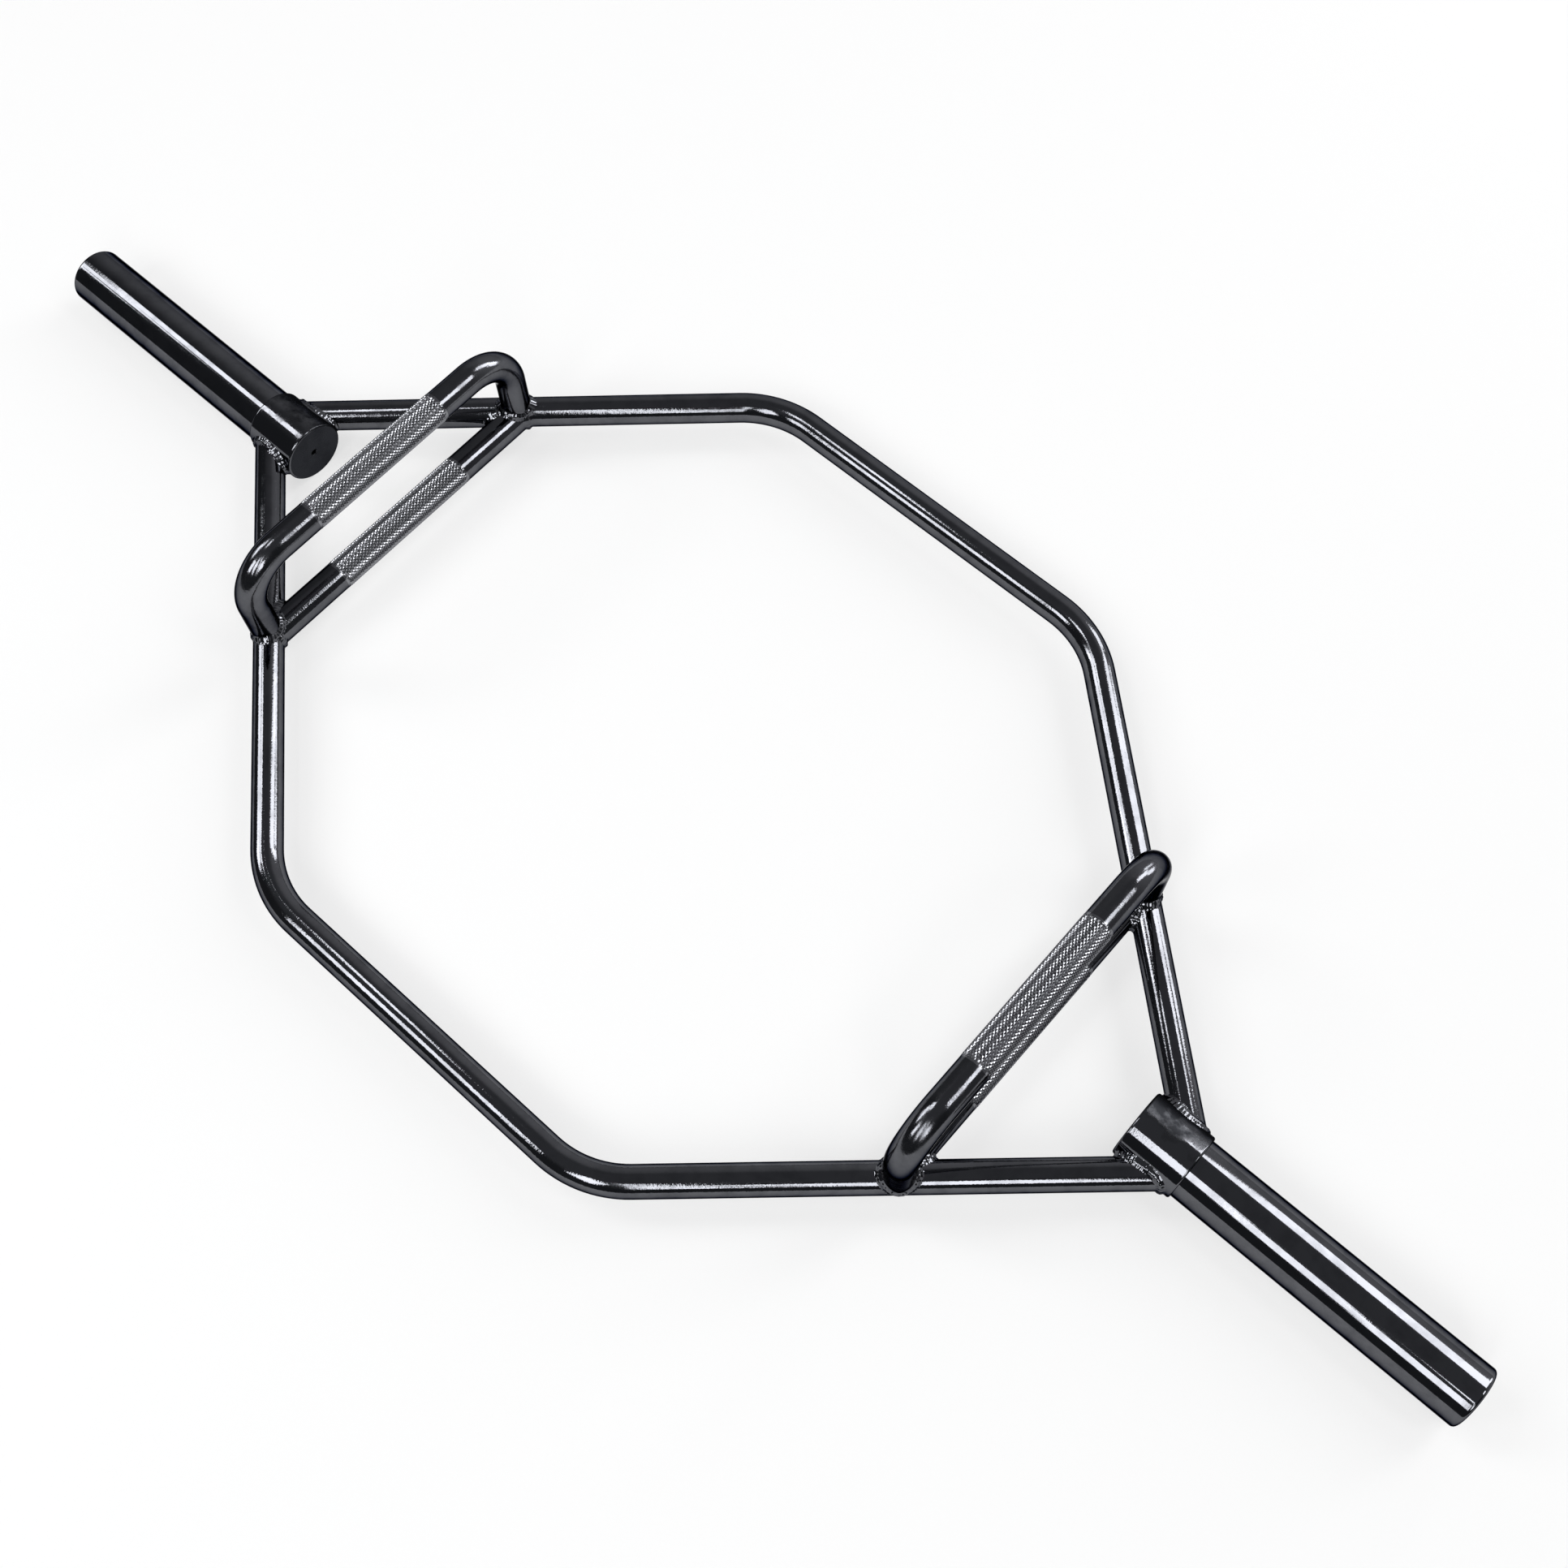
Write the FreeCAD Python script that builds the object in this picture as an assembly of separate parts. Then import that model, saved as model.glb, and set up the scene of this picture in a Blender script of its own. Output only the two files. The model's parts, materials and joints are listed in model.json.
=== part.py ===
import FreeCAD, Part
import math
import os

# Hex trap bar: a six-sided frame that the lifter stands inside, with a plate sleeve at each end
# and a low and a raised grip at each side. All pieces are steel, welded together and plated.
# Millimetres. X runs along the sleeves, Y from front to rear, and Z is up.
# The origin is on the floor under the middle of the frame, and the hubs rest on the floor.
# The bar is the same on both sides of X and of Y, so each piece is drawn once, on the right
# or at the rear, and its mirror images follow.

# Driving dimensions
OVERALL_LENGTH = 1430.0
SLEEVE_DIAMETER = 49.0
SLEEVE_WALL = 5.0
SLEEVE_CHAMFER = 2.5
SLEEVE_SEAT_STEP = 1.0
HUB_DIAMETER = 54.0
HUB_LENGTH = 50.0
HUB_MIDDLE = 456.0
HUB_CHAMFER = 1.5
DISC_THICKNESS = 6.0
PLUG_RECESS = 1.0
VENT_DIAMETER = 5.0
BAR_DIAMETER = 25.0
FRAME_DEPTH = 583.0
FRAME_STRAIGHT = 332.0
FRAME_BEND_RADIUS = 90.0
LOW_GRIP_SPACING = 655.0
RAISED_GRIP_SPACING = 661.0
RAISED_GRIP_HEIGHT = 86.0
RAISED_BEND_RADIUS = 40.0
KNURL_LENGTH = 137.0
KNURL_RISE = 0.3
WELD_RADIUS = 2.8
WELD_THINNING = 0.4
WELD_OFF_BAR = 0.3
WELD_OFF_HOST = 1.1
WELD_STEPS = 16
WELD_SECTION_SIDES = 5
WELD_HUB_SIDES = 32
WELD_SMOOTHING = 2

# Sizes worked out from the driving dimensions
bar_radius = BAR_DIAMETER / 2
sleeve_radius = SLEEVE_DIAMETER / 2
sleeve_bore_radius = sleeve_radius - SLEEVE_WALL
sleeve_seat_radius = sleeve_radius - SLEEVE_SEAT_STEP
sleeve_end = OVERALL_LENGTH / 2
hub_radius = HUB_DIAMETER / 2
hub_inner_end = HUB_MIDDLE - HUB_LENGTH / 2
hub_outer_end = HUB_MIDDLE + HUB_LENGTH / 2
disc_back = hub_inner_end + DISC_THICKNESS
axis_height = hub_radius

# Directions
Vector = FreeCAD.Vector
ORIGIN = Vector(0, 0, 0)
ALONG = Vector(1, 0, 0)
REARWARD = Vector(0, 1, 0)
FORWARD = Vector(0, -1, 0)
UP = Vector(0, 0, 1)


# Mirror images

def to_left(point):
    return Vector(-point.x, point.y, point.z)


def to_front(point):
    return Vector(point.x, -point.y, point.z)


# Where the right rear bars run, as points on their centrelines

def on_frame(x, y):
    """A point in the plane of the frame, which holds the sleeve axis."""
    return Vector(x, y, axis_height)


hub_wall = on_frame(HUB_MIDDLE, hub_radius)
corner = on_frame(FRAME_STRAIGHT / 2, FRAME_DEPTH / 2)
side_run = (corner - hub_wall).normalize()


def side_run_at(x):
    """The point of the side run's centreline at a distance from the middle of the bar."""
    return corner + side_run * ((x - corner.x) / side_run.x)


hub_root = corner - side_run * (corner.y / side_run.y)
low_grip_root = side_run_at(LOW_GRIP_SPACING / 2)
raised_foot = side_run_at(RAISED_GRIP_SPACING / 2)
raised_top = raised_foot + UP * RAISED_GRIP_HEIGHT


# Round bar, straight or bent

def straight_bar(start, end):
    return Part.makeCylinder(bar_radius, (end - start).Length, start, end - start)


def rounded_path(points, bend_radius):
    """A wire of straight runs through the points, with a tangent arc at each inner point."""
    edges = []
    run_start = points[0]
    for before, bend, after in zip(points, points[1:], points[2:]):
        to_before = (before - bend).normalize()
        to_after = (after - bend).normalize()
        half_angle = to_before.getAngle(to_after) / 2
        tangent_length = bend_radius / math.tan(half_angle)
        arc_start = bend + to_before * tangent_length
        arc_end = bend + to_after * tangent_length
        inward = (to_before + to_after).normalize()
        arc_middle = bend + inward * (bend_radius / math.sin(half_angle) - bend_radius)
        edges.append(Part.makeLine(run_start, arc_start))
        edges.append(Part.Arc(arc_start, arc_middle, arc_end).toShape())
        run_start = arc_end
    edges.append(Part.makeLine(run_start, points[-1]))
    return Part.Wire(edges)


def bent_bar(points, bend_radius):
    section = Part.Wire(Part.makeCircle(bar_radius, points[0], points[1] - points[0]))
    return rounded_path(points, bend_radius).makePipeShell([section], True, False)


# Plain cylinders that the ends of the bars are coped against. A hub's cylinder is longer than the hub,
# so that it takes off the whole end of a frame bar.

def hub_core(middle):
    return Part.makeCylinder(hub_radius, 2 * HUB_LENGTH, on_frame(middle - HUB_LENGTH, 0), ALONG)


side_run_core = straight_bar(hub_root, corner)


def frame_bar():
    """One bar from hub to hub, bent at the two corners and coped to the walls of the hubs."""
    bar = bent_bar([hub_root, corner, to_left(corner), to_left(hub_root)], FRAME_BEND_RADIUS)
    return bar.cut([hub_core(HUB_MIDDLE), hub_core(-HUB_MIDDLE)])


# Turned pieces on the sleeve axis

def turned(profile):
    """A turned piece. The profile's points give the distance from the middle of the bar and the radius."""
    points = [Vector(along, 0, axis_height + radius) for along, radius in profile]
    outline = Part.Face(Part.makePolygon(points + points[:1]))
    return outline.revolve(on_frame(0, 0), ALONG, 360)


def hub_collar():
    """A thick ring on the sleeve's turned-down seat, with its outer rims broken."""
    return turned([
        (hub_inner_end, sleeve_seat_radius),
        (hub_inner_end, hub_radius - HUB_CHAMFER),
        (hub_inner_end + HUB_CHAMFER, hub_radius),
        (hub_outer_end - HUB_CHAMFER, hub_radius),
        (hub_outer_end, hub_radius - HUB_CHAMFER),
        (hub_outer_end, sleeve_seat_radius),
    ])


def hub_end_plate():
    """A disc set flush in the inner end of the hub, with a vent hole."""
    vent_radius = VENT_DIAMETER / 2
    return turned([
        (hub_inner_end, vent_radius),
        (hub_inner_end, sleeve_seat_radius),
        (disc_back, sleeve_seat_radius),
        (disc_back, vent_radius),
    ])


def sleeve_tube():
    """A tube from the end plate, through the hub, to the outer end, where its rim leads the plates on."""
    return turned([
        (disc_back, sleeve_bore_radius),
        (disc_back, sleeve_seat_radius),
        (hub_outer_end, sleeve_seat_radius),
        (hub_outer_end, sleeve_radius),
        (sleeve_end - SLEEVE_CHAMFER, sleeve_radius),
        (sleeve_end, sleeve_radius - SLEEVE_CHAMFER),
        (sleeve_end, sleeve_bore_radius),
    ])


def sleeve_end_plug():
    """A disc that closes the outer end of the sleeve, set a little way in."""
    plug_face = sleeve_end - PLUG_RECESS
    plug_back = plug_face - DISC_THICKNESS
    return turned([
        (plug_back, 0),
        (plug_back, sleeve_bore_radius),
        (plug_face, sleeve_bore_radius),
        (plug_face, 0),
    ])


# Grips

def knurl_band(middle):
    """The knurled stretch of a grip. Rolling the knurl lifts the surface of the bar a little."""
    half = KNURL_LENGTH / 2
    crest = bar_radius + KNURL_RISE
    rising = [(-half, 0), (-half, bar_radius), (-half + KNURL_RISE, crest)]
    falling = [(-along, radius) for along, radius in reversed(rising)]
    points = [middle + Vector(0, along, radius) for along, radius in rising + falling]
    outline = Part.Face(Part.makePolygon(points + points[:1]))
    return outline.revolve(middle, REARWARD, 360)


def whole_grip(rear_half, middle):
    """A grip from its rear half, the mirror image of that, and the knurled band over the middle."""
    return rear_half.fuse([rear_half.mirror(ORIGIN, REARWARD), knurl_band(middle)])


low_grip_middle = on_frame(low_grip_root.x, 0)
raised_middle = Vector(raised_top.x, 0, raised_top.z)
low_grip_half = straight_bar(low_grip_middle, low_grip_root).cut(side_run_core)


def low_grip():
    """A straight bar between the side runs, level with the frame and coped to both of them."""
    return whole_grip(low_grip_half, low_grip_middle)


def raised_handle():
    """A bar bent to a U. Its legs are coped to the side runs and to the ends of the low grip."""
    half = bent_bar([raised_foot, raised_top, raised_middle], RAISED_BEND_RADIUS)
    return whole_grip(half.cut([side_run_core, low_grip_half]), raised_middle)


# Weld beads: each follows the line where the wall of a bar comes out through the wall of its host.
# A bead is flat-sided, and it bites into the round walls by the little that its flats need.

def flat_sided(start, end, radius, sides, across):
    """A prism inside a round bar, with one corner turned to lie across the bar."""
    first = (end - start).cross(across).normalize() * radius
    second = (end - start).normalize().cross(first)
    turns = [2 * math.pi * side / sides for side in range(sides)]
    rim = [start + first * math.cos(turn) + second * math.sin(turn) for turn in turns]
    return Part.Face(Part.makePolygon(rim + rim[:1])).extrude(end - start)


def ring_round(root, outward, host_direction):
    """Points round a bar, just off its wall, in the plane through its root."""
    across = outward.cross(host_direction).normalize()
    third = outward.cross(across)
    turns = [2 * math.pi * step / WELD_STEPS for step in range(WELD_STEPS)]
    arms = [across * math.cos(turn) + third * math.sin(turn) for turn in turns]
    return [root + arm * (bar_radius + WELD_OFF_BAR) for arm in arms]


def meet_wall(point, outward, host_root, host_direction, host_radius):
    """How far a point goes outward until it is just off the wall of the host, which is the root of
    a quadratic, and the way that the wall faces there."""
    from_axis = point - host_root
    from_axis = from_axis - host_direction * from_axis.dot(host_direction)
    advance = outward - host_direction * outward.dot(host_direction)
    a = advance.dot(advance)
    b = advance.dot(from_axis)
    c = from_axis.dot(from_axis) - (host_radius + WELD_OFF_HOST) ** 2
    run = (-b + math.sqrt(b * b - a * c)) / a
    return run, (from_axis + advance * run).normalize()


def neighbours(ring):
    """Each item of a closed ring, with the one before and the one after it."""
    return zip(ring[-1:] + ring[:-1], ring, ring[1:] + ring[:1])


def smoothed(lengths):
    """The melted bead rounds off the sharp turns of its line and thickness."""
    for _ in range(WELD_SMOOTHING):
        lengths = [(before + 2 * length + after) / 4 for before, length, after in neighbours(lengths)]
    return lengths


def bead(root, ring, walls, outward, bars):
    """A closed bead with a many-sided section along the line, less the bars that it lies against.
    It is thinner where both walls face the same way and leave no corner to fill."""
    runs = smoothed([run for run, facing in walls])
    line = [point + outward * run for point, run in zip(ring, runs)]
    radii = []
    for point, (run, facing) in zip(ring, walls):
        flush = max(0, (point - root).normalize().dot(facing))
        radii.append(WELD_RADIUS * (1 - WELD_THINNING * flush))
    turns = [2 * math.pi * side / WELD_SECTION_SIDES for side in range(WELD_SECTION_SIDES)]
    sections = []
    for (before, point, after), radius in zip(neighbours(line), smoothed(radii)):
        frame = FreeCAD.Rotation(Vector(), outward, after - before, "ZYX")
        spokes = [frame.multVec(Vector(math.cos(turn), math.sin(turn), 0)) for turn in turns]
        sections.append([point + spoke * radius for spoke in spokes])
    faces = []
    for _, section, following in neighbours(sections):
        for side in range(WELD_SECTION_SIDES):
            near, far = section[side - 1], section[side]
            next_near, next_far = following[side - 1], following[side]
            faces.append(Part.Face(Part.makePolygon([near, far, next_far, near])))
            faces.append(Part.Face(Part.makePolygon([near, next_far, next_near, near])))
    solid = Part.Solid(Part.Shell(faces))
    if solid.Volume < 0:
        solid.reverse()
    return solid.cut(bars)


def hub_weld():
    ring = ring_round(hub_root, side_run, ALONG)
    walls = [meet_wall(point, side_run, hub_root, ALONG, hub_radius) for point in ring]
    run = flat_sided(hub_root, corner, bar_radius, WELD_STEPS, ALONG)
    hub = flat_sided(on_frame(hub_inner_end, 0), on_frame(hub_outer_end, 0), hub_radius, WELD_HUB_SIDES, UP)
    return bead(hub_root, ring, walls, side_run, run.fuse(hub))


def grip_joint():
    """The side run, the low grip and the leg of the raised handle, which all meet at one place."""
    run = flat_sided(hub_root, corner, bar_radius, WELD_STEPS, UP)
    grip = flat_sided(low_grip_root, low_grip_middle, bar_radius, WELD_STEPS, UP)
    leg = flat_sided(raised_foot, raised_top, bar_radius, WELD_STEPS, side_run)
    return run.fuse([grip, leg])


def raised_handle_weld():
    """This bead lies on the side run, and on the low grip where that butts against the run."""
    inward = side_run.cross(UP)
    inward = inward if inward.dot(FORWARD) > 0 else -inward
    ring = ring_round(raised_foot, UP, side_run)
    walls = []
    for point in ring:
        wall = meet_wall(point, UP, raised_foot, side_run, bar_radius)
        if inward.dot(point - raised_foot) > 0:
            grip_wall = meet_wall(point, UP, low_grip_root, FORWARD, bar_radius)
            wall = max(wall, grip_wall, key=lambda met: met[0])
        walls.append(wall)
    return bead(raised_foot, ring, walls, UP, grip_joint())


def low_grip_weld():
    """This bead stops at the raised handle's bead, which crosses it."""
    ring = ring_round(low_grip_root, FORWARD, side_run)
    walls = [meet_wall(point, FORWARD, low_grip_root, side_run, bar_radius) for point in ring]
    whole = bead(low_grip_root, ring, walls, FORWARD, grip_joint())
    return whole.cut(nodes["rear_right_raised_handle_weld"])


# Assembly: the right or rear piece of each kind, and its mirror images

nodes = {}

nodes["rear_frame_bar"] = frame_bar()
nodes["front_frame_bar"] = nodes["rear_frame_bar"].mirror(ORIGIN, REARWARD)

for make in (hub_collar, hub_end_plate, sleeve_tube, sleeve_end_plug, low_grip, raised_handle):
    piece = make()
    nodes["right_" + make.__name__] = piece
    nodes["left_" + make.__name__] = piece.mirror(ORIGIN, ALONG)

for make in (hub_weld, raised_handle_weld, low_grip_weld):
    right = make()
    left = right.mirror(ORIGIN, ALONG)
    nodes["rear_right_" + make.__name__] = right
    nodes["rear_left_" + make.__name__] = left
    nodes["front_right_" + make.__name__] = right.mirror(ORIGIN, REARWARD)
    nodes["front_left_" + make.__name__] = left.mirror(ORIGIN, REARWARD)

# Each piece is one closed solid, in a file of its own
os.makedirs("parts", exist_ok=True)
for name, shape in nodes.items():
    if len(shape.Solids) != 1 or not shape.isValid():
        raise ValueError(name + " is not one closed solid")
    shape.Solids[0].exportStep("parts/" + name + ".step")
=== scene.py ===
import bmesh
import bpy
import json
import math
import random
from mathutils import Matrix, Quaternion, Vector, noise


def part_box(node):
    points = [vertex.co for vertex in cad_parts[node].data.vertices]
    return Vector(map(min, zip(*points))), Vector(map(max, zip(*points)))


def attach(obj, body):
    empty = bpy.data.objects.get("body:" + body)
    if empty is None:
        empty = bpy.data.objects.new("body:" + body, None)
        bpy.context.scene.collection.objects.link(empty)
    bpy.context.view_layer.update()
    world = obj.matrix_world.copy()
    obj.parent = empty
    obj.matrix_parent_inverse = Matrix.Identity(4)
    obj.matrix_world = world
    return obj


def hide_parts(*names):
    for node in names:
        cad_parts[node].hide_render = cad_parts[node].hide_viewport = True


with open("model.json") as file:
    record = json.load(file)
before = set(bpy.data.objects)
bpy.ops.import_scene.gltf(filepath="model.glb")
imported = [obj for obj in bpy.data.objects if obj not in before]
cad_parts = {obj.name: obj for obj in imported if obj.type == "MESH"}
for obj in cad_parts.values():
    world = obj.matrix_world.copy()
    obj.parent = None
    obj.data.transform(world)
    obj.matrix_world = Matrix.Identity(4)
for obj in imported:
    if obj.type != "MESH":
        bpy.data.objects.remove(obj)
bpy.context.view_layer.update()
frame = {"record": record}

# Frame bars
# Two round bars of drawn steel, bent cold at their corners, coped to the hubs and plated with black nickel.
# Each is swept along its centreline, and the points of its ends slide along the bar to the hub's wall.
MM = 0.001
STRAIGHT_LENGTH = 332 * MM
CORNER_BEND_RADIUS = 90 * MM
BEND_STEP = math.radians(3)
BAR_SIDES = 96
SHARP_ANGLE = math.radians(28)
ALONG = Vector((1, 0, 0))
REARWARD = Vector((0, 1, 0))
UP = Vector((0, 0, 1))

rear_low, rear_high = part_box("rear_frame_bar")
hub_low, hub_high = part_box("right_hub_collar")
bar_radius = (rear_high.z - rear_low.z) / 2
axis_height = (rear_high.z + rear_low.z) / 2
hub_radius = (hub_high.z - hub_low.z) / 2
hub_middle = (hub_high.x + hub_low.x) / 2
corner_x = STRAIGHT_LENGTH / 2
corner_y = rear_high.y - bar_radius
run_slope = (hub_middle - corner_x) / (corner_y - hub_radius)
run_root_x = hub_middle + hub_radius * run_slope


def run_y(x):
    """How far from the middle the side runs of the frame are, at a distance along the bar."""
    return (run_root_x - x) / run_slope


def bent_path(corners, bend_radius, step_angle=BEND_STEP):
    """Points with their directions: straight runs, and a tangent arc in place of each inner corner.

    A point close beside each end of an arc keeps the smooth shading of the bend off the straight runs."""
    path = [(corners[0], (corners[1] - corners[0]).normalized())]
    for before, bend, after in zip(corners, corners[1:], corners[2:]):
        run_in = (bend - before).normalized()
        run_out = (after - bend).normalized()
        turn = run_in.angle(run_out)
        hinge = run_in.cross(run_out).normalized()
        arc_start = bend - run_in * bend_radius * math.tan(turn / 2)
        centre = arc_start + hinge.cross(run_in) * bend_radius
        steps = math.ceil(turn / step_angle)
        beside = bend_radius * step_angle
        path.append((arc_start - run_in * beside, run_in))
        for step in range(steps + 1):
            swing = Quaternion(hinge, turn * step / steps)
            path.append((centre + swing @ (arc_start - centre), swing @ run_in))
        path.append((path[-1][0] + run_out * beside, run_out))
    path.append((corners[-1], (corners[-1] - corners[-2]).normalized()))
    return path


def ring_round(centre, direction, reference, radius, sides):
    """Points round a bar. The reference is a direction that stays square to the bar."""
    across = direction.cross(reference)
    turns = [2 * math.pi * side / sides for side in range(sides)]
    return [centre + (reference * math.cos(turn) + across * math.sin(turn)) * radius for turn in turns]


def wall_runs(point, direction, wall):
    """How far along a direction a point enters and leaves a round wall: the roots of a quadratic."""
    root, axis, radius = wall
    offset = point - root
    offset = offset - axis * offset.dot(axis)
    advance = direction - axis * direction.dot(axis)
    a = advance.dot(advance)
    b = advance.dot(offset)
    c = offset.dot(offset) - radius ** 2
    half_chord = math.sqrt(max(0, b * b - a * c))
    return (-b - half_chord) / a, (-b + half_chord) / a


def coped(ring, direction, walls):
    """An end ring that has slid along its bar until each point meets the first of the round walls."""
    slid = []
    for point in ring:
        run = min(wall_runs(point, direction, wall)[0] for wall in walls)
        slid.append(point + direction * run)
    return slid


def bar_rings(path, reference, sides, start_walls=(), end_walls=()):
    """Rings along the path of a bar. An end is coped where it has walls to meet."""
    rings = [ring_round(point, direction, reference, bar_radius, sides) for point, direction in path]
    if start_walls:
        rings[0] = coped(rings[1], -path[0][1], start_walls)
    if end_walls:
        rings[-1] = coped(rings[-2], path[-1][1], end_walls)
    return rings


def number_points(points, ring):
    """Adds a ring to the points of a piece and gives the points' numbers."""
    first = len(points)
    points.extend(ring)
    return list(range(first, len(points)))


def join_rings(faces, first, second):
    """Adds the faces between two rings."""
    for side in range(len(first)):
        faces.append((first[side - 1], first[side], second[side], second[side - 1]))


def cap(points, faces, ring):
    """Closes a ring with a fan about its middle."""
    middle = sum((points[number] for number in ring), Vector()) / len(ring)
    points.append(middle)
    for side in range(len(ring)):
        faces.append((ring[side - 1], ring[side], len(points) - 1))


def skin(rings, looped=False):
    """A closed skin over rings. A looped skin goes on from the last ring to the first and needs no caps."""
    points = []
    faces = []
    numbers = [number_points(points, ring) for ring in rings]
    for first, second in zip(numbers, numbers[1:]):
        join_rings(faces, first, second)
    if looped:
        join_rings(faces, numbers[-1], numbers[0])
    else:
        cap(points, faces, numbers[0])
        cap(points, faces, numbers[-1])
    return points, faces


def make_piece(node, points, faces, material):
    """A piece that stands for a CAD node, smooth where its surface turns gently."""
    mesh = bpy.data.meshes.new("plated_" + node)
    mesh.from_pydata(points, [], faces)
    shape = bmesh.new()
    shape.from_mesh(mesh)
    bmesh.ops.recalc_face_normals(shape, faces=shape.faces)
    shape.to_mesh(mesh)
    shape.free()
    mesh.shade_smooth()
    mesh.set_sharp_from_angle(angle=SHARP_ANGLE)
    mesh.materials.append(material)
    piece = bpy.data.objects.new("plated_" + node, mesh)
    bpy.context.scene.collection.objects.link(piece)
    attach(piece, "root")
    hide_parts(node)
    return piece


def paint(piece, material, chosen):
    """Gives a second material to the faces of a piece that are chosen."""
    piece.data.materials.append(material)
    for face in piece.data.polygons:
        if chosen(face):
            face.material_index = 1


def linear(colour):
    """Linear light from an sRGB hex colour."""
    channels = [int(colour[place:place + 2], 16) / 255 for place in (1, 3, 5)]
    return [c / 12.92 if c <= 0.04045 else ((c + 0.055) / 1.055) ** 2.4 for c in channels] + [1]


def add_node(owner, kind, inputs, **settings):
    """Adds a node. Each input is a plain value, or another node's output, which is linked."""
    node = owner.node_tree.nodes.new(kind)
    for name, value in settings.items():
        setattr(node, name, value)
    for name, value in inputs.items():
        if isinstance(value, bpy.types.NodeSocket):
            owner.node_tree.links.new(value, node.inputs[name])
        else:
            node.inputs[name].default_value = value
    return node


# Black nickel is a thin dark plate on bright steel. It gives the eye a near-black mirror with a cold tint,
# a little paler where the plate is thin, and duller in patches where it has been handled.
# The fine marks of drawing, turning and brushing are drawn coarser than the real ones, so that they show.
PLATE_THICK = "#58595d"
PLATE_THIN = "#646569"
PLATE_EDGE = "#6c6d71"
PLATE_SMUDGE = "#505155"
PLATE_PATCH = 35 * MM
SMUDGE_PATCH = 14 * MM
SMUDGE_START = 0.45
SMUDGE_FULL = 0.75
# The colour sockets of a mix node go by number, because its sockets for other values share their names.
MIX_FACTOR, MIX_A, MIX_B, MIX_RESULT = 0, 6, 7, 2


def black_nickel(name, polished, smudged, grains, thick=PLATE_THICK, thin=PLATE_THIN, smudge_and_shade=PLATE_SMUDGE,
                 rear_shade_and_dulling=0):
    """Black nickel, from its polished to its smudged roughness. Each grain is a width, a lift and a stretch.

    Rear shade and dulling is how much the smudges grow for each metre towards the rear, bringing painted
    shade in the smudge colour and a rougher plate."""
    material = bpy.data.materials.new(name)
    material.use_nodes = True
    material.node_tree.nodes.clear()
    place = add_node(material, "ShaderNodeTexCoord", {}).outputs["Object"]
    patches = add_node(material, "ShaderNodeTexNoise", {
        "Vector": place,
        "Scale": 1 / PLATE_PATCH,
        "Detail": 3,
    })
    plate = add_node(material, "ShaderNodeMix", {
        MIX_FACTOR: patches.outputs["Fac"],
        MIX_A: linear(thick),
        MIX_B: linear(thin),
    }, data_type="RGBA")
    smudges = add_node(material, "ShaderNodeTexNoise", {
        "Vector": place,
        "Scale": 1 / SMUDGE_PATCH,
        "Detail": 5,
        "Roughness": 0.6,
    })
    # The rear term paints shade: it darkens the plate towards the rear as well as making it rougher there.
    smudges_and_rear_shade = add_node(material, "ShaderNodeMath", {
        0: add_node(material, "ShaderNodeSeparateXYZ", {"Vector": place}).outputs["Y"],
        1: rear_shade_and_dulling,
        2: smudges.outputs["Fac"],
    }, operation="MULTIPLY_ADD")
    dullness = add_node(material, "ShaderNodeMapRange", {
        "Value": smudges_and_rear_shade.outputs["Value"],
        "From Min": SMUDGE_START,
        "From Max": SMUDGE_FULL,
    })
    roughness = add_node(material, "ShaderNodeMapRange", {
        "Value": dullness.outputs["Result"],
        "To Min": polished,
        "To Max": smudged,
    })
    colour = add_node(material, "ShaderNodeMix", {
        MIX_FACTOR: dullness.outputs["Result"],
        MIX_A: plate.outputs[MIX_RESULT],
        MIX_B: linear(smudge_and_shade),
    }, data_type="RGBA")
    shine = {
        "Base Color": colour.outputs[MIX_RESULT],
        "Metallic": 1,
        "Specular Tint": linear(PLATE_EDGE),
        "Roughness": roughness.outputs["Result"],
    }
    for width, lift, stretch in grains:
        mapping = add_node(material, "ShaderNodeMapping", {"Vector": place, "Scale": stretch})
        grain = add_node(material, "ShaderNodeTexNoise", {
            "Vector": mapping.outputs["Vector"],
            "Scale": 1 / width,
            "Detail": 2,
        })
        relief = {"Height": grain.outputs["Fac"], "Distance": lift}
        if "Normal" in shine:
            relief["Normal"] = shine["Normal"]
        shine["Normal"] = add_node(material, "ShaderNodeBump", relief).outputs["Normal"]
    shader = add_node(material, "ShaderNodeBsdfPrincipled", shine)
    add_node(material, "ShaderNodeOutputMaterial", {"Surface": shader.outputs["BSDF"]})
    return material


# Drawn bar keeps slow waves and a fine grain, so the streaks of light along it waver a little.
EVEN = (1, 1, 1)
DRAWN_WAVE = (6 * MM, 0.05 * MM, EVEN)
DRAWN_GRAIN = (1.3 * MM, 0.035 * MM, EVEN)
drawn_bar_plate = black_nickel("black_nickel_on_drawn_bar", polished=0.05, smudged=0.14,
                               grains=[DRAWN_WAVE, DRAWN_GRAIN])
hub_wall = (Vector((0, 0, axis_height)), ALONG, hub_radius)
for end, side in (("front", -1), ("rear", 1)):
    route = [(run_root_x, 0), (corner_x, corner_y), (-corner_x, corner_y), (-run_root_x, 0)]
    corners = [Vector((x, side * y, axis_height)) for x, y in route]
    rings = bar_rings(bent_path(corners, CORNER_BEND_RADIUS), UP, BAR_SIDES, [hub_wall], [hub_wall])
    piece = make_piece(end + "_frame_bar", *skin(rings), drawn_bar_plate)

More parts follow.
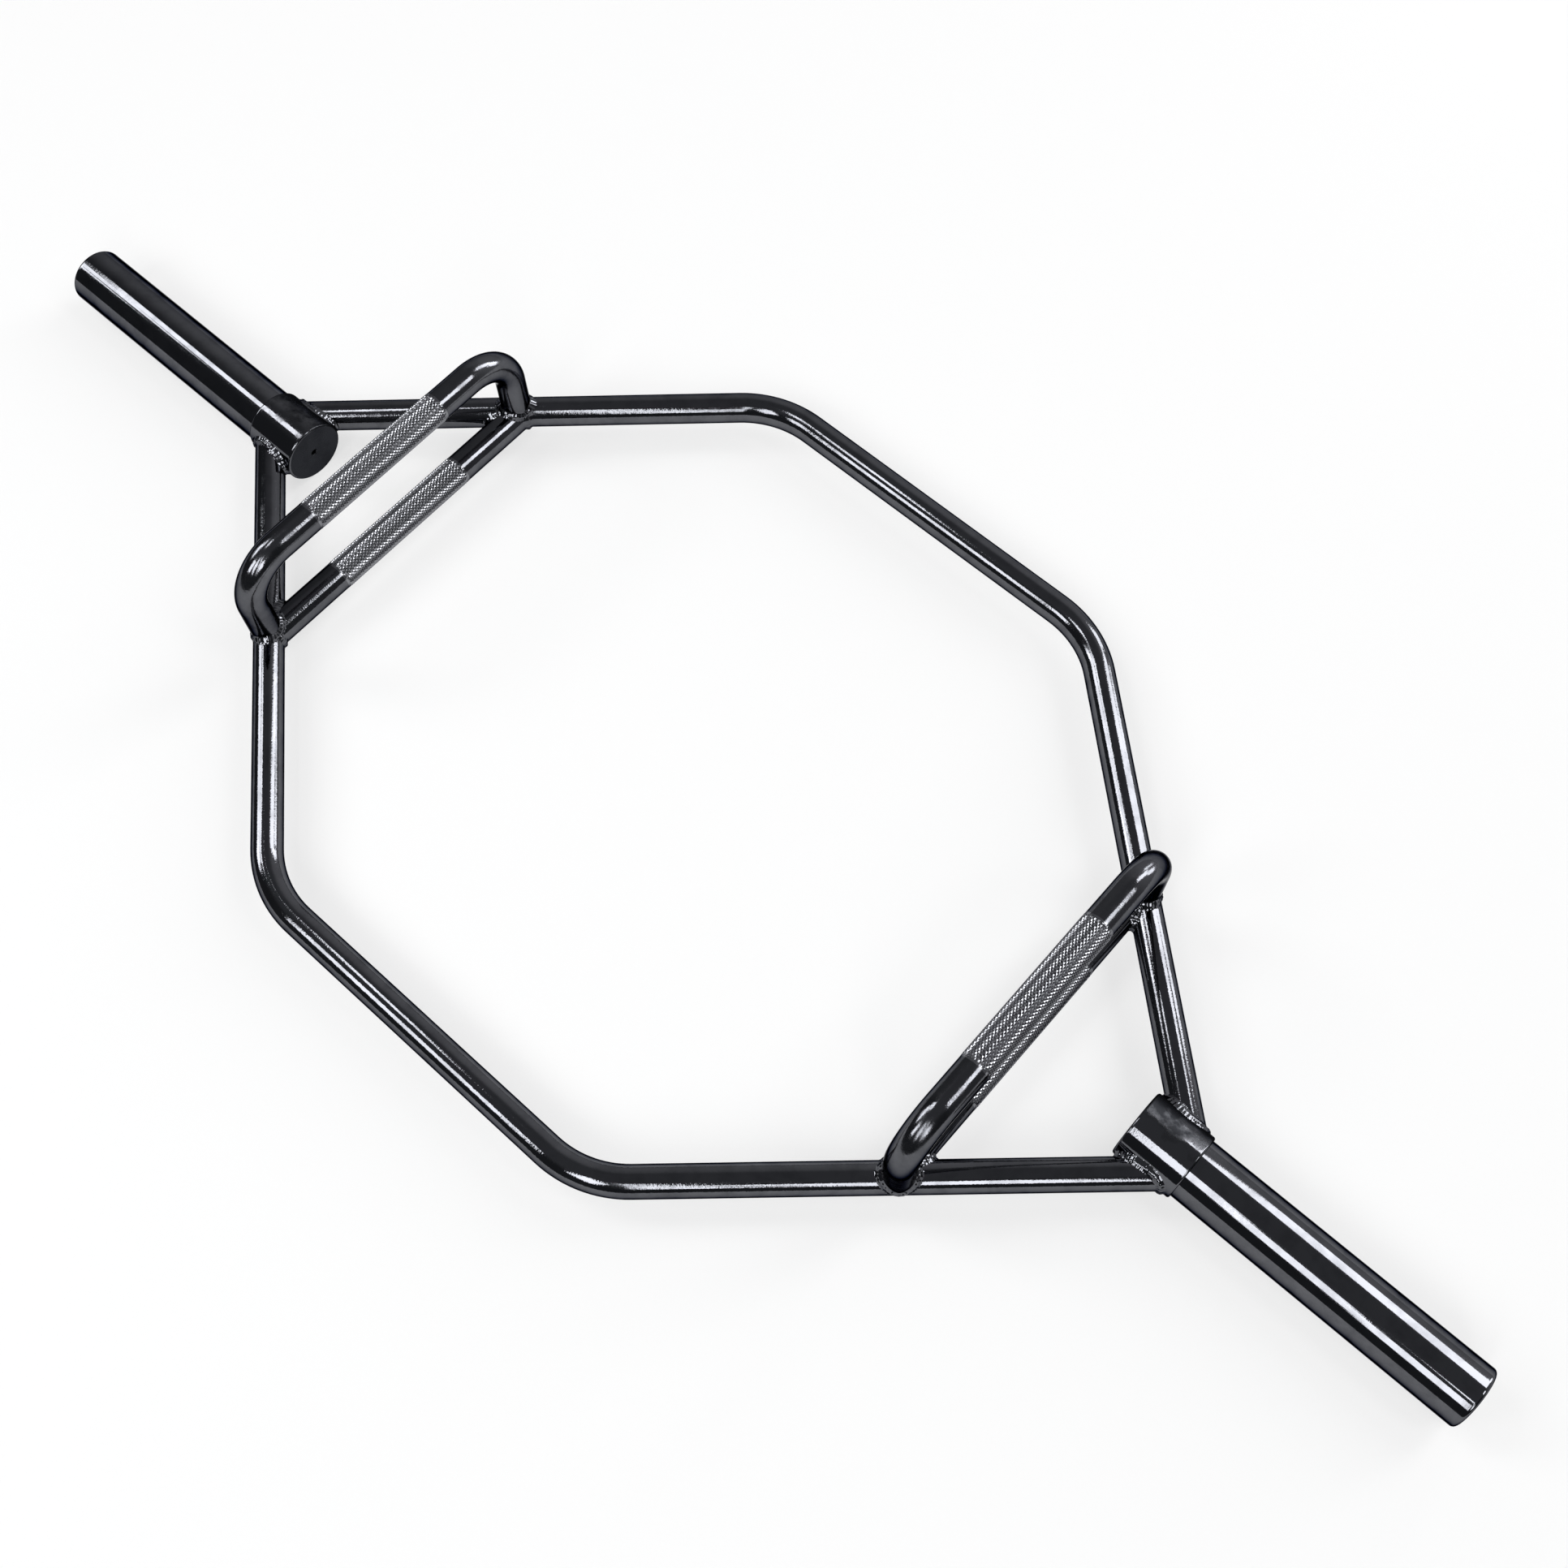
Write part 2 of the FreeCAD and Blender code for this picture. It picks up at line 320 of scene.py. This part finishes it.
# Hub collars
# Thick turned rings that join the frame bars to the sleeve, plated, with painted shade darkening them
# towards the rear, where they are rougher too.
# Each is turned from a profile whose two outer rims are rounded over.
HUB_RIM_ROUND = 1.8 * MM
RIM_STEP = math.radians(9)
TURNED_SIDES = 160
SQUARE_ENOUGH = 0.98

plate_low, plate_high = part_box("right_hub_end_plate")
seat_radius = (plate_high.z - plate_low.z) / 2


def profile_point(along, radius):
    """A point of a turned profile, by its place along the sleeve axis and its distance from it."""
    return Vector((along, radius, 0))


def turned_rings(profile, side):
    """Rings about the sleeve axis for each point of a profile, on the right or, mirrored, on the left."""
    rings = []
    for point in profile:
        centre = Vector((side * point.x, 0, axis_height))
        rings.append(ring_round(centre, ALONG, UP, point.y, TURNED_SIDES))
    return rings


def rounded_profile(corners, rim_round):
    """A turned profile with its inner corners rounded over."""
    return [point for point, direction in bent_path(corners, rim_round, RIM_STEP)]


# The hub's plate is brushed. Painted shade darkens it towards the rear, where it also grows rougher, so one
# side is bright and the other a dark satin with a soft grey bloom.
HUB_REAR_SHADE_AND_DULLING = 14
HUB_SMUDGE_AND_REAR_SHADE = "#27282b"
BRUSHED_GRAIN = (1.5 * MM, 0.02 * MM, EVEN)
brushed_plate_with_rear_shade = black_nickel("black_nickel_on_brushed_steel_with_painted_rear_shade", polished=0.06, smudged=0.4,
                             grains=[BRUSHED_GRAIN], smudge_and_shade=HUB_SMUDGE_AND_REAR_SHADE, rear_shade_and_dulling=HUB_REAR_SHADE_AND_DULLING)
hub_profile = rounded_profile([
    profile_point(hub_low.x, seat_radius),
    profile_point(hub_low.x, hub_radius),
    profile_point(hub_high.x, hub_radius),
    profile_point(hub_high.x, seat_radius),
], HUB_RIM_ROUND)


def flat_end(face):
    """Whether a face lies square to the sleeve's axis."""
    return abs(face.normal.x) > SQUARE_ENOUGH


# The flat ends were faced on a lathe, which leaves a satin skin with soft grey reflections.
FACE_THICK = "#333437"
FACE_THIN = "#3f4043"
FACED_GRAIN = (0.9 * MM, 0.012 * MM, EVEN)
satin_plate = black_nickel("black_nickel_on_faced_steel", polished=0.26, smudged=0.4, grains=[FACED_GRAIN],
                           thick=FACE_THICK, thin=FACE_THIN, smudge_and_shade=FACE_THICK)
for name, side in (("left", -1), ("right", 1)):
    piece = make_piece(name + "_hub_collar", *skin(turned_rings(hub_profile, side), True), brushed_plate_with_rear_shade)
    paint(piece, satin_plate, flat_end)

# Sleeves
# Smooth steel tubes that carry the plates, turned down inside the hubs, polished and plated.
# Each is turned from a profile with a rounded lead at its outer end.
SLEEVE_RIM_ROUND = 3 * MM

sleeve_low, sleeve_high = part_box("right_sleeve_tube")
sleeve_radius = frame["record"]["mounts"][0]["dims"]["r_mm"] * MM
plug_low, plug_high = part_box("right_sleeve_end_plug")
bore_radius = (plug_high.z - plug_low.z) / 2

# Turning and polishing leave faint lines round the tube, so its reflections stay clean and straight.
AROUND = (1, 0.03, 0.03)
TURNED_LINES = (0.8 * MM, 0.004 * MM, AROUND)
TURNED_WAVE = (2.2 * MM, 0.012 * MM, EVEN)
turned_plate = black_nickel("black_nickel_on_polished_turned_steel", polished=0.05, smudged=0.1,
                            grains=[TURNED_LINES, TURNED_WAVE])
sleeve_profile = [
    profile_point(sleeve_low.x, bore_radius),
    profile_point(sleeve_low.x, seat_radius),
    profile_point(hub_high.x, seat_radius),
] + rounded_profile([
    profile_point(hub_high.x, sleeve_radius),
    profile_point(sleeve_high.x, sleeve_radius),
    profile_point(sleeve_high.x, bore_radius),
], SLEEVE_RIM_ROUND)
for name, side in (("left", -1), ("right", 1)):
    piece = make_piece(name + "_sleeve_tube", *skin(turned_rings(sleeve_profile, side), True), turned_plate)

# Hub end plates and sleeve end plugs
# Flat steel discs that close the sleeves, faced like the hubs' ends. The hub's disc has a small vent hole.
# Each is turned from a profile with a broken edge.
VENT_RADIUS = 2.5 * MM
VENT_LEAD = 0.9 * MM
PLUG_EDGE = 0.7 * MM
PLUG_MIDDLE = 0.5 * MM

end_plate_profile = [
    profile_point(plate_high.x, VENT_RADIUS),
    profile_point(plate_low.x + VENT_LEAD, VENT_RADIUS),
    profile_point(plate_low.x, VENT_RADIUS + VENT_LEAD),
    profile_point(plate_low.x, seat_radius),
    profile_point(plate_high.x, seat_radius),
]
plug_profile = [
    profile_point(plug_low.x, PLUG_MIDDLE),
    profile_point(plug_low.x, bore_radius),
    profile_point(plug_high.x - PLUG_EDGE, bore_radius),
    profile_point(plug_high.x, bore_radius - PLUG_EDGE),
    profile_point(plug_high.x, PLUG_MIDDLE),
]
for name, side in (("left", -1), ("right", 1)):
    rings = turned_rings(end_plate_profile, side)
    piece = make_piece(name + "_hub_end_plate", *skin(rings, True), satin_plate)
    piece = make_piece(name + "_sleeve_end_plug", *skin(turned_rings(plug_profile, side)), satin_plate)

# Low grips
# Straight bars level with the frame, knurled in the middle between two rollers, then plated.
# The knurl is cut as real diamonds: a lattice of valleys, with a flat-topped point in each mesh of it.
# The diamonds are drawn about a fifth coarser than the real ones, so that they show in a picture.
KNURL_LENGTH = 137 * MM
DIAMOND_LENGTH = 3.8 * MM
DIAMONDS_AROUND = 32
VALLEY_DEPTH = 0.3 * MM
POINT_FLAT = 0.12
POINT_WEAR = 0.04 * MM
WEAR_SEED = 11
FADE_ROWS = 2
KNURL_MARGIN = 0.6 * MM

grip_low, grip_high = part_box("right_low_grip")
low_grip_x = (grip_high.x + grip_low.x) / 2
crest_radius = (grip_high.x - grip_low.x) / 2
valley_radius = bar_radius - VALLEY_DEPTH
grip_sides = 2 * DIAMONDS_AROUND
knurl_rows = 2 * round(KNURL_LENGTH / DIAMOND_LENGTH)
knurl_half = KNURL_LENGTH / 2
knurl_wear = random.Random(WEAR_SEED)

# The rollers leave a torn, brighter skin, so each point catches several of the lights at once.
KNURL_THICK = "#77787c"
KNURL_THIN = "#8d8e92"
KNURL_GRAIN = (0.6 * MM, 0.012 * MM, EVEN)
knurl_plate = black_nickel("black_nickel_on_rolled_knurl", polished=0.16, smudged=0.26, grains=[KNURL_GRAIN],
                           thick=KNURL_THICK, thin=KNURL_THIN, smudge_and_shade=KNURL_THICK)


def knurled_skin(front_rings, rear_rings):
    """Plain rings from the front end, the knurl's diamonds, and plain rings to the rear end.

    A ring close beside each end of the knurl keeps its shading off the plain bar."""
    margin = REARWARD * KNURL_MARGIN
    front_rings.insert(-1, [point - margin for point in front_rings[-1]])
    rear_rings.insert(1, [point + margin for point in rear_rings[0]])
    points = []
    faces = []
    front = [number_points(points, ring) for ring in front_rings]
    rear = [number_points(points, ring) for ring in rear_rings]
    for half in (front, rear):
        for first, second in zip(half, half[1:]):
            join_rings(faces, first, second)
    cap(points, faces, front[0])
    cap(points, faces, rear[-1])
    start = sum(front_rings[-1], Vector()) / grip_sides
    finish = sum(rear_rings[0], Vector()) / grip_sides
    spokes = [(point - start).normalized() for point in front_rings[-1]]

    def on_grip(row, side, radius):
        """A point of the lattice. Row and side may lie between two lattice lines."""
        before = math.floor(side)
        after = spokes[(before + 1) % grip_sides]
        spoke = spokes[before % grip_sides].lerp(after, side - before).normalized()
        return start.lerp(finish, row / knurl_rows) + spoke * radius

    lattice = [front[-1]]
    for row in range(1, knurl_rows):
        numbers = {}
        for side in range(row % 2, grip_sides, 2):
            numbers[side] = len(points)
            points.append(on_grip(row, side, valley_radius))
        lattice.append(numbers)
    lattice.append(rear[0])

    for row in range(knurl_rows + 1):
        rim = row in (0, knurl_rows)
        fade = min(1, row / FADE_ROWS, (knurl_rows - row) / FADE_ROWS)
        for side in range((row + 1) % 2, grip_sides, 2):
            left = lattice[row][(side - 1) % grip_sides]
            right = lattice[row][(side + 1) % grip_sides]
            beyond = [lattice[near][side] for near in (row - 1, row + 1) if 0 <= near <= knurl_rows]
            if rim:
                faces.append((left, lattice[row][side], beyond[0]))
                faces.append((lattice[row][side], right, beyond[0]))
                continue
            fore, aft = beyond
            crest = bar_radius + (crest_radius - bar_radius) * fade - knurl_wear.uniform(0, POINT_WEAR)
            around = [left, fore, right, aft]
            steps = [(0, -POINT_FLAT), (-POINT_FLAT, 0), (0, POINT_FLAT), (POINT_FLAT, 0)]
            top = number_points(points, [on_grip(row + down, side + over, crest) for down, over in steps])
            faces.append(tuple(top))
            join_rings(faces, around, top)
    return points, faces


def in_knurl(face):
    return abs(face.center.y) < knurl_half


def side_run_wall(side, end):
    """The round wall of the frame's side run, on the right or left (1 or -1) and at the rear or front."""
    root = Vector((side * run_root_x, 0, axis_height))
    corner = Vector((side * corner_x, end * corner_y, axis_height))
    return root, (corner - root).normalized(), bar_radius


for name, side in (("left", -1), ("right", 1)):
    x = side * low_grip_x
    grip_y = run_y(low_grip_x)
    front_path = bent_path([Vector((x, -grip_y, axis_height)), Vector((x, -knurl_half, axis_height))], 0)
    rear_path = bent_path([Vector((x, knurl_half, axis_height)), Vector((x, grip_y, axis_height))], 0)
    front_rings = bar_rings(front_path, ALONG, grip_sides, [side_run_wall(side, -1)])
    rear_rings = bar_rings(rear_path, ALONG, grip_sides, (), [side_run_wall(side, 1)])
    piece = make_piece(name + "_low_grip", *knurled_skin(front_rings, rear_rings), drawn_bar_plate)
    paint(piece, knurl_plate, in_knurl)

# Raised handles
# Bars bent to a U that stand on the frame above the low grips, knurled and plated as those are.
# Their feet are coped both to the side runs and to the low grips' ends.
HANDLE_BEND_RADIUS = 40 * MM

# The tight bends stretched the steel, so its plate is duller and smears the lights it reflects.
STRETCHED_WAVE = (6 * MM, 0.06 * MM, EVEN)
STRETCHED_GRAIN = (1.3 * MM, 0.04 * MM, EVEN)
stretched_plate = black_nickel("black_nickel_on_stretched_bar", polished=0.1, smudged=0.26,
                               grains=[STRETCHED_WAVE, STRETCHED_GRAIN])
handle_low, handle_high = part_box("right_raised_handle")
handle_x = (handle_high.x + handle_low.x) / 2
handle_height = handle_high.z - crest_radius
for name, side in (("left", -1), ("right", 1)):
    x = side * handle_x
    foot_y = run_y(handle_x)
    low_grip_wall = (Vector((side * low_grip_x, 0, axis_height)), REARWARD, bar_radius)
    route = [Vector((x, foot_y, axis_height)), Vector((x, foot_y, handle_height)),
             Vector((x, knurl_half, handle_height))]
    front_route = [Vector((point.x, -point.y, point.z)) for point in route]
    front_path = bent_path(front_route, HANDLE_BEND_RADIUS)
    rear_path = bent_path(route[::-1], HANDLE_BEND_RADIUS)
    front_rings = bar_rings(front_path, ALONG, grip_sides, [side_run_wall(side, -1), low_grip_wall])
    rear_rings = bar_rings(rear_path, ALONG, grip_sides, (), [side_run_wall(side, 1), low_grip_wall])
    piece = make_piece(name + "_raised_handle", *knurled_skin(front_rings, rear_rings), stretched_plate)
    paint(piece, knurl_plate, in_knurl)

# Weld beads
# Fillets of melted steel in the corner of each joint, left as they were laid and plated over.
# Each is a skin of points cast in from round the joint's line, until they meet the melted metal.
WELD_RADIUS = 2.7 * MM
WELD_THINNING = 0.6
WELD_OFF_BAR = 0.4 * MM
WELD_OFF_HOST = 0.6 * MM
WELD_REACH = 5 * MM
WELD_BLEND = 3 * MM
WELD_SINK = 0.25 * MM
WELD_MISS = 0.03 * MM
WELD_CASTS = 8
WELD_STEPS = 240
WELD_SIDES = 30
WELD_SMOOTHING_TURN = math.radians(14)
WELD_PULSE = 3 * MM
WELD_SWELL = 0.07
WELD_LUMP = 5 * MM
WELD_LUMP_SWELL = 0.22

# Weld metal sets in lumps and ripples, so its plate glints in many small points.
WELD_RIPPLE = (3.5 * MM, 0.12 * MM, EVEN)
WELD_GRAIN = (1 * MM, 0.01 * MM, EVEN)
weld_plate = black_nickel("black_nickel_on_weld_metal", polished=0.06, smudged=0.18,
                          grains=[WELD_RIPPLE, WELD_GRAIN])


def smoothed(runs):
    """The melted bead rounds off the sharp turns of its line."""
    passes = round(2 * (WELD_STEPS * WELD_SMOOTHING_TURN / (2 * math.pi)) ** 2)
    for _ in range(passes):
        runs = [(runs[step - 1] + 2 * runs[step] + runs[(step + 1) % WELD_STEPS]) / 4
                for step in range(WELD_STEPS)]
    return runs


def wall_distance(point, wall):
    """How far a point is outside a round wall."""
    root, axis, radius = wall
    offset = point - root
    return (offset - axis * offset.dot(axis)).length - radius


def blended(first, second):
    """The smaller of two distances, rounded off where they are nearly equal."""
    overlap = max(0, WELD_BLEND - abs(first - second)) / WELD_BLEND
    return min(first, second) - overlap ** 2 * WELD_BLEND / 4


def cast_in(line_point, spoke, bead_radius, bar, hosts):
    """How far from the line the metal ends along a spoke. The skin dives under the bars at its edges."""
    reach = WELD_REACH
    for _ in range(WELD_CASTS):
        place = line_point + spoke * reach
        steel = wall_distance(place, bar)
        for wall, applies in hosts:
            if applies(place):
                steel = min(steel, wall_distance(place, wall))
        gap = blended(steel + WELD_SINK, reach - bead_radius)
        if gap < WELD_MISS:
            break
        reach -= gap
    return reach


def grown(wall):
    """The line of a bead runs a little off its host's wall."""
    root, axis, radius = wall
    return root, axis, radius + WELD_OFF_HOST


def away_from(point, wall):
    """The direction straight out of a round wall at a point."""
    root, axis = wall[:2]
    offset = point - root
    return (offset - axis * offset.dot(axis)).normalized()


def bead_skin(root, outward, hosts):
    """Lumpy metal round a bar that leaves its root outward, lying on the highest of its hosts.

    It is thinner at the flanks, where bar and host lie flush and leave no corner to fill."""
    bar = (root, outward, bar_radius)
    reference = outward.orthogonal().normalized()
    circle = ring_round(root, outward, reference, bar_radius + WELD_OFF_BAR, WELD_STEPS)
    runs = []
    for point in circle:
        walls = [grown(wall) for wall, applies in hosts if applies(point)]
        runs.append(max(wall_runs(point, outward, wall)[1] for wall in walls))
    line = [point + outward * run for point, run in zip(circle, smoothed(runs))]
    rings = []
    length = 0
    for step, point in enumerate(line):
        following = line[(step + 1) % WELD_STEPS]
        tangent = (following - line[step - 1]).normalized()
        over = (outward - tangent * outward.dot(tangent)).normalized()
        pulse = math.cos(2 * math.pi * length / WELD_PULSE)
        length += (following - point).length
        nearest = min((wall for wall, applies in hosts if applies(point)),
                      key=lambda wall: wall_distance(point, wall))
        flush = max(0, away_from(point, bar).dot(away_from(point, nearest)))
        fill = WELD_RADIUS * (1 - WELD_THINNING * flush)
        ring = []
        for spoke in ring_round(Vector(), tangent, over, 1, WELD_SIDES):
            lump = noise.noise((point + spoke * WELD_RADIUS) / WELD_LUMP)
            bead_radius = fill * (1 + WELD_SWELL * pulse + WELD_LUMP_SWELL * lump)
            ring.append(point + spoke * cast_in(point, spoke, bead_radius, bar, hosts))
        rings.append(ring)
    return skin(rings, True)


def everywhere(point):
    """For a host that a bead lies on all the way round."""
    return True


for end_name, end in (("front", -1), ("rear", 1)):
    for side_name, side in (("left", -1), ("right", 1)):
        corner_name = end_name + "_" + side_name
        run_wall = side_run_wall(side, end)
        run_root, run_direction = run_wall[:2]
        grip_root = Vector((side * low_grip_x, end * run_y(low_grip_x), axis_height))
        foot = Vector((side * handle_x, end * run_y(handle_x), axis_height))

        def over_grip(point):
            """Whether a point is on the inner side of the run, where the low grip is its host."""
            inward = Vector((0, -end, 0))
            inward = inward - run_direction * inward.dot(run_direction)
            return (point - foot).dot(inward) > 0

        grip_wall = (grip_root, REARWARD, bar_radius)
        joints = {
            "_hub_weld": (run_root, run_direction, [(hub_wall, everywhere)]),
            "_low_grip_weld": (grip_root, Vector((0, -end, 0)), [(run_wall, everywhere)]),
            "_raised_handle_weld": (foot, UP, [(run_wall, everywhere), (grip_wall, over_grip)]),
        }
        for joint, (root, outward, hosts) in joints.items():
            piece = make_piece(corner_name + joint, *bead_skin(root, outward, hosts), weld_plate)

# Floor and surroundings
# A wide sheet of matt white paper under the bar, in a room that is dark in front and pale at the rear.
# The paper shows the bar's soft shadow, and the room gives the plate something to reflect.
FLOOR_RADIUS = 14
FLOOR_SIDES = 96
PAPER = "#e2e2e2"
PAPER_FIBRE = "#dddddc"
PAPER_WHITENESS = 0.65
FIBRE = 2 * MM
FRONT_WALL = "#484a4d"
REAR_WALL = "#c2c2c4"
CEILING = "#747578"
FRONT_EDGE = 0
REAR_EDGE = 1
WALL_TOP = math.sin(math.radians(42))
CEILING_EDGE = math.sin(math.radians(66))

paper = bpy.data.materials.new("matt_white_paper")
paper.use_nodes = True
paper.node_tree.nodes.clear()
paper_place = add_node(paper, "ShaderNodeTexCoord", {}).outputs["Object"]
fibres = add_node(paper, "ShaderNodeTexNoise", {"Vector": paper_place, "Scale": 1 / FIBRE, "Detail": 4})
paper_colour = add_node(paper, "ShaderNodeMix", {
    MIX_FACTOR: fibres.outputs["Fac"],
    MIX_A: linear(PAPER),
    MIX_B: linear(PAPER_FIBRE),
}, data_type="RGBA")
paper_shader = add_node(paper, "ShaderNodeBsdfPrincipled", {
    "Base Color": paper_colour.outputs[MIX_RESULT],
    "Roughness": 0.9,
})
# To the eye and in the plate's reflections the paper is part white of its own, so it stays pale far out.
ray = add_node(paper, "ShaderNodeLightPath", {}).outputs
seen = ray["Is Camera Ray"]
for kind in ("Is Glossy Ray", "Is Transmission Ray"):
    seen = add_node(paper, "ShaderNodeMath", {0: seen, 1: ray[kind]}, operation="MAXIMUM").outputs["Value"]
whiteness = add_node(paper, "ShaderNodeMath", {0: seen, 1: PAPER_WHITENESS}, operation="MULTIPLY")
white = add_node(paper, "ShaderNodeEmission", {"Strength": 1})
paper_skin = add_node(paper, "ShaderNodeMixShader", {
    0: whiteness.outputs["Value"],
    1: paper_shader.outputs["BSDF"],
    2: white.outputs["Emission"],
})
add_node(paper, "ShaderNodeOutputMaterial", {"Surface": paper_skin.outputs["Shader"]})
floor_edge = ring_round(Vector(), UP, ALONG, FLOOR_RADIUS, FLOOR_SIDES)
floor_mesh = bpy.data.meshes.new("floor")
floor_mesh.from_pydata(floor_edge, [], [range(FLOOR_SIDES)])
floor_mesh.materials.append(paper)
floor = bpy.data.objects.new("floor", floor_mesh)
bpy.context.scene.collection.objects.link(floor)

room = bpy.data.worlds.new("studio_room")
room.use_nodes = True
room.node_tree.nodes.clear()
bpy.context.scene.world = room
outlook = add_node(room, "ShaderNodeTexCoord", {}).outputs["Generated"]
facing = add_node(room, "ShaderNodeSeparateXYZ", {"Vector": outlook}).outputs
rear_share = add_node(room, "ShaderNodeMapRange", {
    "Value": facing["Y"],
    "From Min": FRONT_EDGE,
    "From Max": REAR_EDGE,
}, interpolation_type="SMOOTHSTEP")
walls = add_node(room, "ShaderNodeMix", {
    MIX_FACTOR: rear_share.outputs["Result"],
    MIX_A: linear(FRONT_WALL),
    MIX_B: linear(REAR_WALL),
}, data_type="RGBA")
ceiling_share = add_node(room, "ShaderNodeMapRange", {
    "Value": facing["Z"],
    "From Min": WALL_TOP,
    "From Max": CEILING_EDGE,
}, interpolation_type="SMOOTHSTEP")
room_colour = add_node(room, "ShaderNodeMix", {
    MIX_FACTOR: ceiling_share.outputs["Result"],
    MIX_A: walls.outputs[MIX_RESULT],
    MIX_B: linear(CEILING),
}, data_type="RGBA")
room_light = add_node(room, "ShaderNodeBackground", {
    "Color": room_colour.outputs[MIX_RESULT],
    "Strength": 1,
})
add_node(room, "ShaderNodeOutputWorld", {"Surface": room_light.outputs["Background"]})

# Softboxes
# Large studio lights that stand round the bar, most of them well back, and lean in over it.
# Each one draws a white streak along the bars that run across its beam.
SOFTBOX_GLOW = 7.6
SOFTBOX_DISTANCE = 10


def softbox(name, azimuth, elevation, width, height, roll, distance=SOFTBOX_DISTANCE):
    """A light that faces the middle of the bar, from a distance in metres.

    Its place, size and roll are angles in degrees, seen from the middle of the bar."""
    turn = math.radians(azimuth)
    rise = math.radians(elevation)
    way = Vector((math.cos(rise) * math.cos(turn), math.cos(rise) * math.sin(turn), math.sin(rise)))
    lamp = bpy.data.lights.new(name, "AREA")
    lamp.shape = "RECTANGLE"
    lamp.size = 2 * distance * math.tan(math.radians(width / 2))
    lamp.size_y = 2 * distance * math.tan(math.radians(height / 2))
    lamp.energy = SOFTBOX_GLOW * math.pi * lamp.size * lamp.size_y
    light = bpy.data.objects.new(name, lamp)
    light.location = way * distance
    light.rotation_mode = "QUATERNION"
    level = (-way).to_track_quat("-Z", "Y")
    light.rotation_quaternion = level @ Quaternion((0, 0, 1), math.radians(roll))
    bpy.context.scene.collection.objects.link(light)


softbox("left_softbox", azimuth=196.5, elevation=36.5, width=13.5, height=18, roll=20)
softbox("low_left_softbox", azimuth=206.5, elevation=33.5, width=7, height=13, roll=20)
softbox("high_left_softbox", azimuth=187, elevation=50.5, width=12.5, height=8.5, roll=-10)
softbox("front_left_softbox", azimuth=-114.5, elevation=39.5, width=14, height=19, roll=12, distance=3)
softbox("high_front_softbox", azimuth=-85.7, elevation=49, width=4.8, height=23, roll=-4)
softbox("middle_front_softbox", azimuth=-79.6, elevation=45, width=4.8, height=21, roll=-8)
softbox("low_front_softbox", azimuth=-74, elevation=40.3, width=4.8, height=19.5, roll=-10)
softbox("front_right_softbox", azimuth=-41, elevation=36, width=12, height=20.5, roll=9, distance=11)
softbox("narrow_front_right_softbox", azimuth=-55, elevation=44, width=3.5, height=36.5, roll=12,
        distance=12)
softbox("right_softbox", azimuth=27.5, elevation=51, width=11, height=21, roll=-26)
softbox("rear_right_softbox", azimuth=75.3, elevation=40.5, width=15.5, height=26.5, roll=0)
softbox("low_rear_right_softbox", azimuth=67.5, elevation=18, width=13, height=18, roll=0)
softbox("low_rear_softbox", azimuth=83.5, elevation=22, width=7, height=20, roll=-12, distance=2.3)
softbox("overhead_softbox", azimuth=193, elevation=67.5, width=12.5, height=7.5, roll=-1, distance=2)

# Camera
# It looks steeply down from the front right, as in the photo, with a slight roll.
# Its place, aim and lens were solved from the bar's edges in the photo.
PHOTO_WIDTH = 1932
FOCAL_PIXELS = 2310
SENSOR = 36
CAMERA_PLACE = Vector((0.4752, -0.3957, 1.3448))
CAMERA_AIM = Vector((0.0684, 0.0321, 0.027))
CAMERA_ROLL = math.radians(-2.1)

eye = bpy.data.cameras.new("camera")
eye.sensor_width = SENSOR
eye.lens = SENSOR * FOCAL_PIXELS / PHOTO_WIDTH
camera = bpy.data.objects.new("camera", eye)
camera.location = CAMERA_PLACE
camera.rotation_mode = "QUATERNION"
look = (CAMERA_AIM - CAMERA_PLACE).to_track_quat("-Z", "Y")
camera.rotation_quaternion = look @ Quaternion((0, 0, 1), CAMERA_ROLL)
bpy.context.scene.collection.objects.link(camera)
bpy.context.scene.camera = camera
bpy.context.scene.view_settings.view_transform = "Standard"
